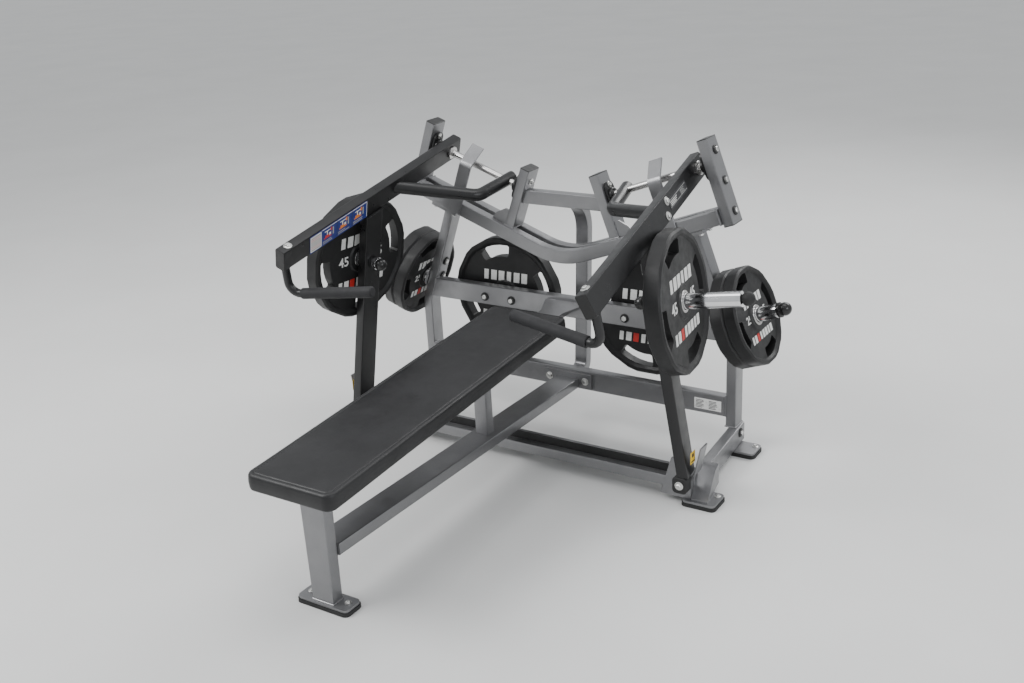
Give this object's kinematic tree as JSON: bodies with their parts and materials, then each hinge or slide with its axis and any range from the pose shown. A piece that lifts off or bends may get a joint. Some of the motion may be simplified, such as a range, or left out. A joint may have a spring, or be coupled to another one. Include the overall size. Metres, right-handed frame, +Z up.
{
  "type": "plate-loaded bench press machine",
  "caption": "Lie-flat press bench with two independent pivoting levers that carry weight plates, rubber stops, and slanted and rear horns that store spare plates.",
  "frame": {"origin": "on the floor, under the middle of the whole machine's box", "axes": "+Z up; +Y from the bench's foot end to its head end and the rear frame; +X to the user's left when lying on the bench, which is the machine's right seen from its foot end"},
  "size_m": [1.7218, 1.7531, 1.0943],
  "materials": {
    "silver_frame": "silver metallic powder coat, fine grain, semi-gloss",
    "black_frame": "black powder coat, satin",
    "black_vinyl": "black upholstery vinyl with a fine leather grain",
    "black_board": "black backed plywood, matt",
    "black_rubber": "moulded black rubber, matt",
    "grip_rubber": "dark grey rubber sleeve, matt",
    "chrome": "chrome plated steel, polished",
    "bright_steel": "ground steel shaft"
  },
  "bodies": {
    "frame": {"bench_pad": "black_vinyl", "pad_board": "black_board", "front_leg": "silver_frame", "spine": "silver_frame", "mid_post": "silver_frame", "head_bracket": "silver_frame", "front_tie": "silver_frame", "front_rubber_foot": "black_rubber", "low_cross_tube": "silver_frame", "front_gull_wing": "silver_frame", "rear_gull_wing": "silver_frame", "centre_upright": "silver_frame", "middle_beam": "silver_frame", "top_bar": "silver_frame", "side_rail_right": "silver_frame", "front_rubber_foot_right": "black_rubber", "rear_rubber_foot_right": "black_rubber", "stop_plate_right": "silver_frame", "stop_bumper_right": "black_rubber", "upright_right": "silver_frame", "outer_tower_right": "silver_frame", "inner_tower_right": "silver_frame", "inner_bearing_right": "black_frame", "outer_bearing_right": "black_frame", "side_horn_right": "chrome", "rear_horn_right": "chrome", "side_rail_left": "silver_frame", "front_rubber_foot_left": "black_rubber", "rear_rubber_foot_left": "black_rubber", "stop_plate_left": "silver_frame", "stop_bumper_left": "black_rubber", "upright_left": "silver_frame", "outer_tower_left": "silver_frame", "inner_tower_left": "silver_frame", "inner_bearing_left": "black_frame", "outer_bearing_left": "black_frame", "side_horn_left": "chrome", "rear_horn_left": "chrome"},
    "lever_right": {"arm_right": "black_frame", "shaft_right": "bright_steel", "brace_right": "black_frame", "post_right": "black_frame", "plate_horn_right": "chrome", "horn_cap_right": "black_rubber", "handle_right": "black_frame", "grip_right": "grip_rubber"},
    "loaded_plate_right": {"loaded_plate_right": "black_rubber"},
    "side_plates_right": {"side_plates_right": "black_rubber"},
    "rear_plate_right": {"rear_plate_right": "black_rubber"},
    "lever_left": {"arm_left": "black_frame", "shaft_left": "bright_steel", "brace_left": "black_frame", "post_left": "black_frame", "plate_horn_left": "chrome", "horn_cap_left": "black_rubber", "handle_left": "black_frame", "grip_left": "grip_rubber"},
    "loaded_plate_left": {"loaded_plate_left": "black_rubber"},
    "side_plates_left": {"side_plates_left": "black_rubber"},
    "rear_plate_left": {"rear_plate_left": "black_rubber"}
  },
  "joints": [
    {"name": "lever_right_press", "type": "hinge", "parent": "frame", "child": "lever_right", "pos_m": [0.35975, 0.63525, 0.93546], "axis": [-0.9397, 0, -0.342], "range_deg": [0, 40]},
    {"name": "lever_left_press", "type": "hinge", "parent": "frame", "child": "lever_left", "pos_m": [-0.35975, 0.63525, 0.93546], "axis": [-0.9397, 0, 0.342], "range_deg": [0, 40]},
    {"name": "loaded_plate_right_slide", "type": "slide", "parent": "lever_right", "child": "loaded_plate_right", "axis": [0.9837, 0.1069, 0.1444], "range_m": [0, 0.17]},
    {"name": "side_plates_right_slide", "type": "slide", "parent": "frame", "child": "side_plates_right", "axis": [0.9397, 0, 0.342], "range_m": [0, 0.07]},
    {"name": "rear_plate_right_slide", "type": "slide", "parent": "frame", "child": "rear_plate_right", "axis": [0, 1, 0], "range_m": [0, 0.1]},
    {"name": "loaded_plate_left_slide", "type": "slide", "parent": "lever_left", "child": "loaded_plate_left", "axis": [-0.9837, 0.1069, 0.1444], "range_m": [0, 0.17]},
    {"name": "side_plates_left_slide", "type": "slide", "parent": "frame", "child": "side_plates_left", "axis": [-0.9397, 0, 0.342], "range_m": [0, 0.07]},
    {"name": "rear_plate_left_slide", "type": "slide", "parent": "frame", "child": "rear_plate_left", "axis": [0, 1, 0], "range_m": [0, 0.1]}
  ]
}
